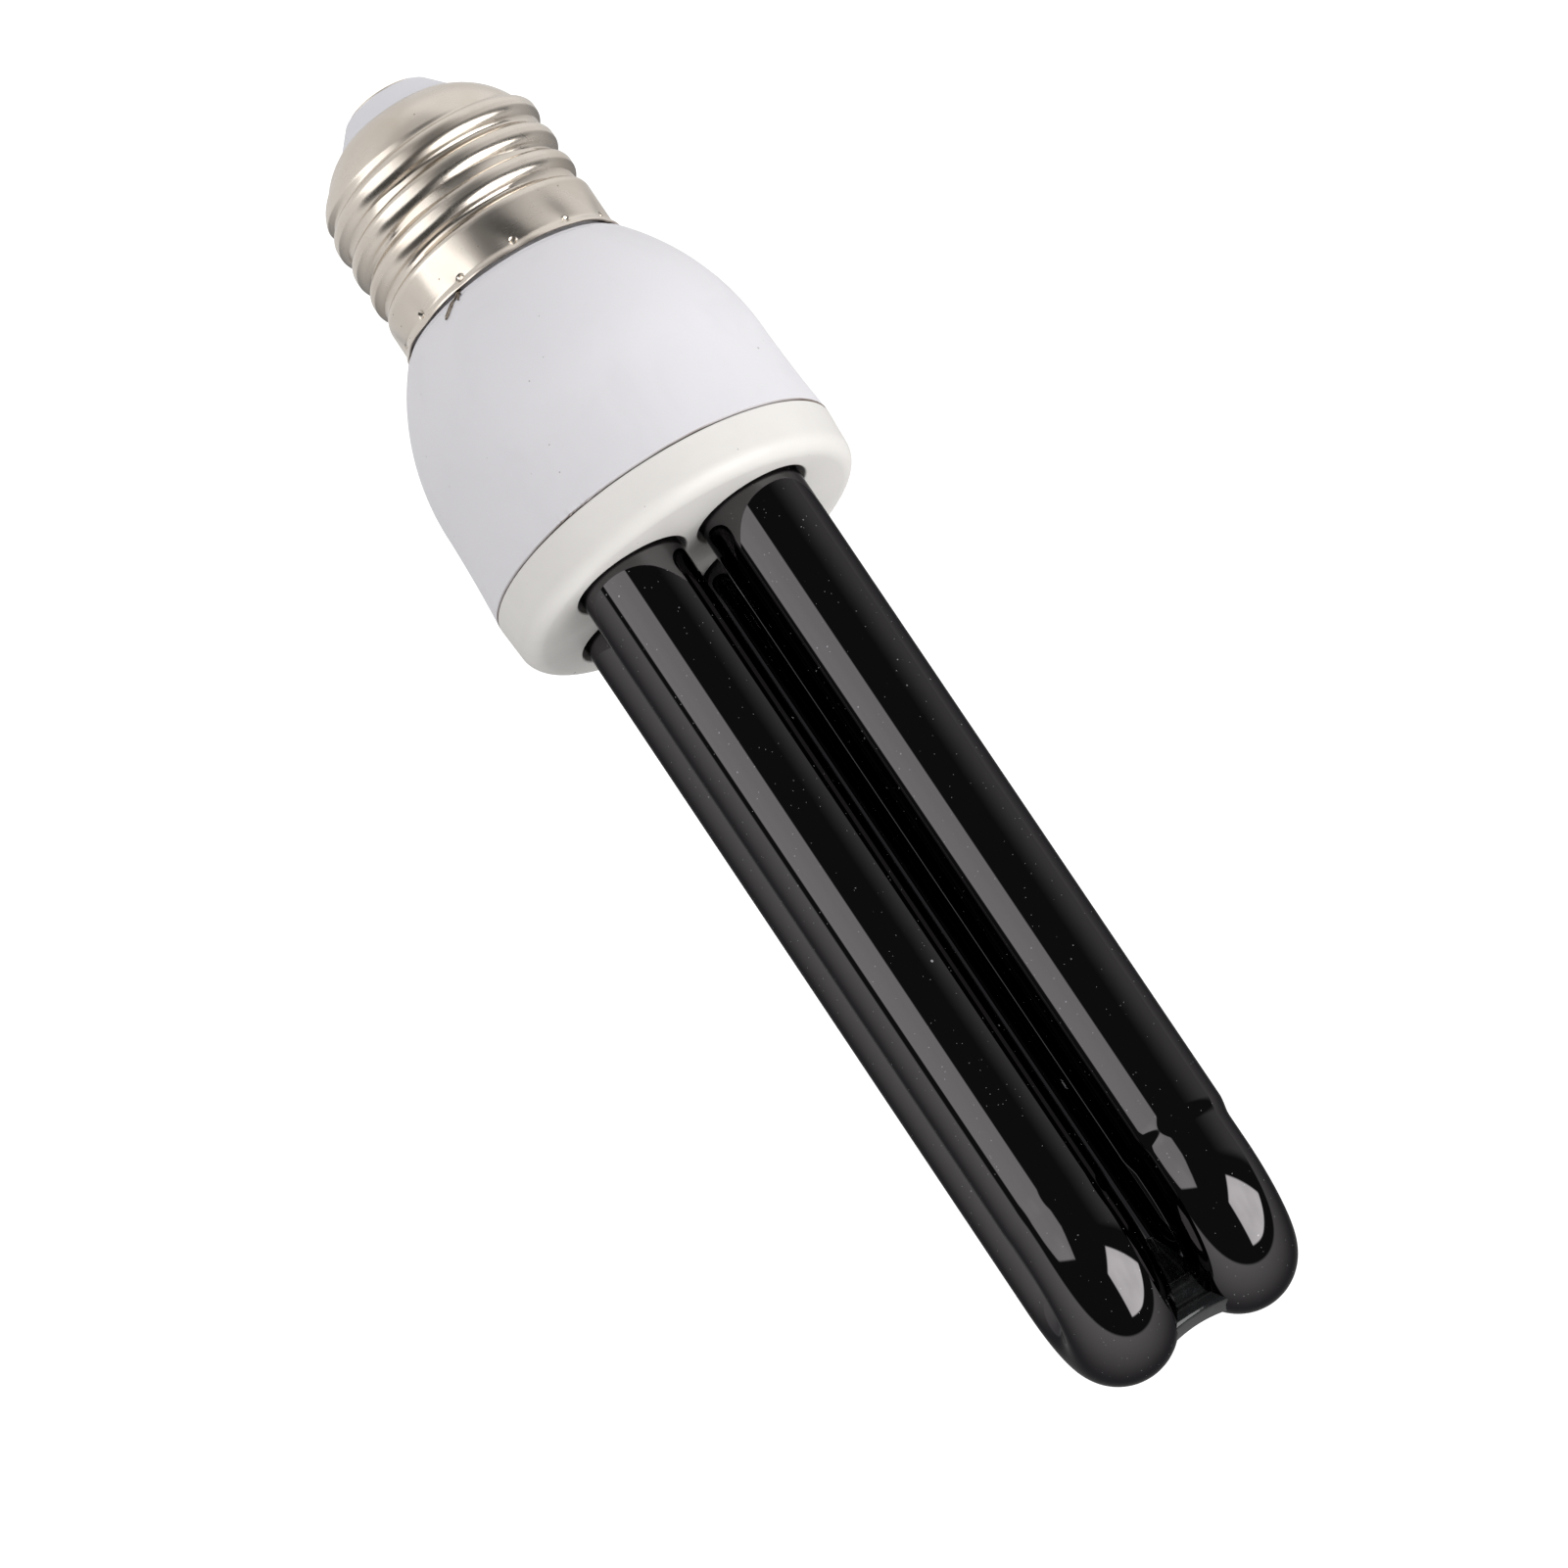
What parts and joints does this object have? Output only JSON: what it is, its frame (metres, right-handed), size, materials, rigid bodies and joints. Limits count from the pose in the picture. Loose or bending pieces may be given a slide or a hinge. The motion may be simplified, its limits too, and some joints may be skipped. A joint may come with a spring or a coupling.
{
  "type": "black light bulb",
  "caption": "Compact screw-cap black light: threaded metal cap, domed white housing and two long U-bent tubes of dark glossy glass.",
  "frame": {"origin": "outer face of the centre contact, on the lamp's axis", "axes": "+Z along the lamp's axis from the cap to the tips of the tube; the two legs of each bend lie one behind the other along Y"},
  "size_m": [0.0414, 0.0414, 0.1628],
  "materials": {
    "nickel_shell": "rolled, nickel-plated sheet with a warm tint",
    "cap_ceramic": "pale opaque insulator",
    "contact_metal": "tinned contact disc",
    "housing_plastic": "cool white moulded plastic, matte",
    "collar_plastic": "warm white moulded plastic, satin",
    "dark_glass": "almost black glossy filter glass, opaque to the eye",
    "adhesive": "dark translucent adhesive",
    "cement": "set cement",
    "board_laminate": "paper laminate",
    "ferrite": "sintered ferrite",
    "moulding": "black moulding compound",
    "copper_wire": "enamelled copper wire",
    "can_sleeve": "shrink sleeve on the can",
    "film_case": "dipped film capacitor",
    "resistor_body": "coated resistor or glass diode",
    "lead_sleeve": "sleeved lead",
    "bare_wire": "tinned wire"
  },
  "bodies": {
    "root": {"screw_shell": "nickel_shell", "cap_insulator": "cap_ceramic", "centre_contact": "contact_metal", "upper_housing": "housing_plastic", "lower_housing": "collar_plastic", "discharge_tube": "dark_glass", "tip_adhesive": "adhesive", "tube_cement": "cement", "circuit_board": "board_laminate", "choke_core": "ferrite", "choke_bobbin": "moulding", "choke_coil": "copper_wire", "driver_transformer": "ferrite", "smoothing_capacitor": "can_sleeve", "transistor_1": "moulding", "transistor_2": "moulding", "resonance_capacitor": "film_case", "coupling_capacitor": "film_case", "rectifier_diode_1": "moulding", "rectifier_diode_2": "moulding", "rectifier_diode_3": "moulding", "rectifier_diode_4": "moulding", "fusible_resistor": "resistor_body", "start_resistor": "resistor_body", "trigger_diode": "resistor_body", "live_lead": "lead_sleeve", "neutral_lead": "bare_wire", "wrap_pin_1": "bare_wire", "electrode_lead_1": "bare_wire", "wrap_pin_2": "bare_wire", "electrode_lead_2": "bare_wire", "wrap_pin_3": "bare_wire", "electrode_lead_3": "bare_wire", "wrap_pin_4": "bare_wire", "electrode_lead_4": "bare_wire"}
  },
  "joints": []
}
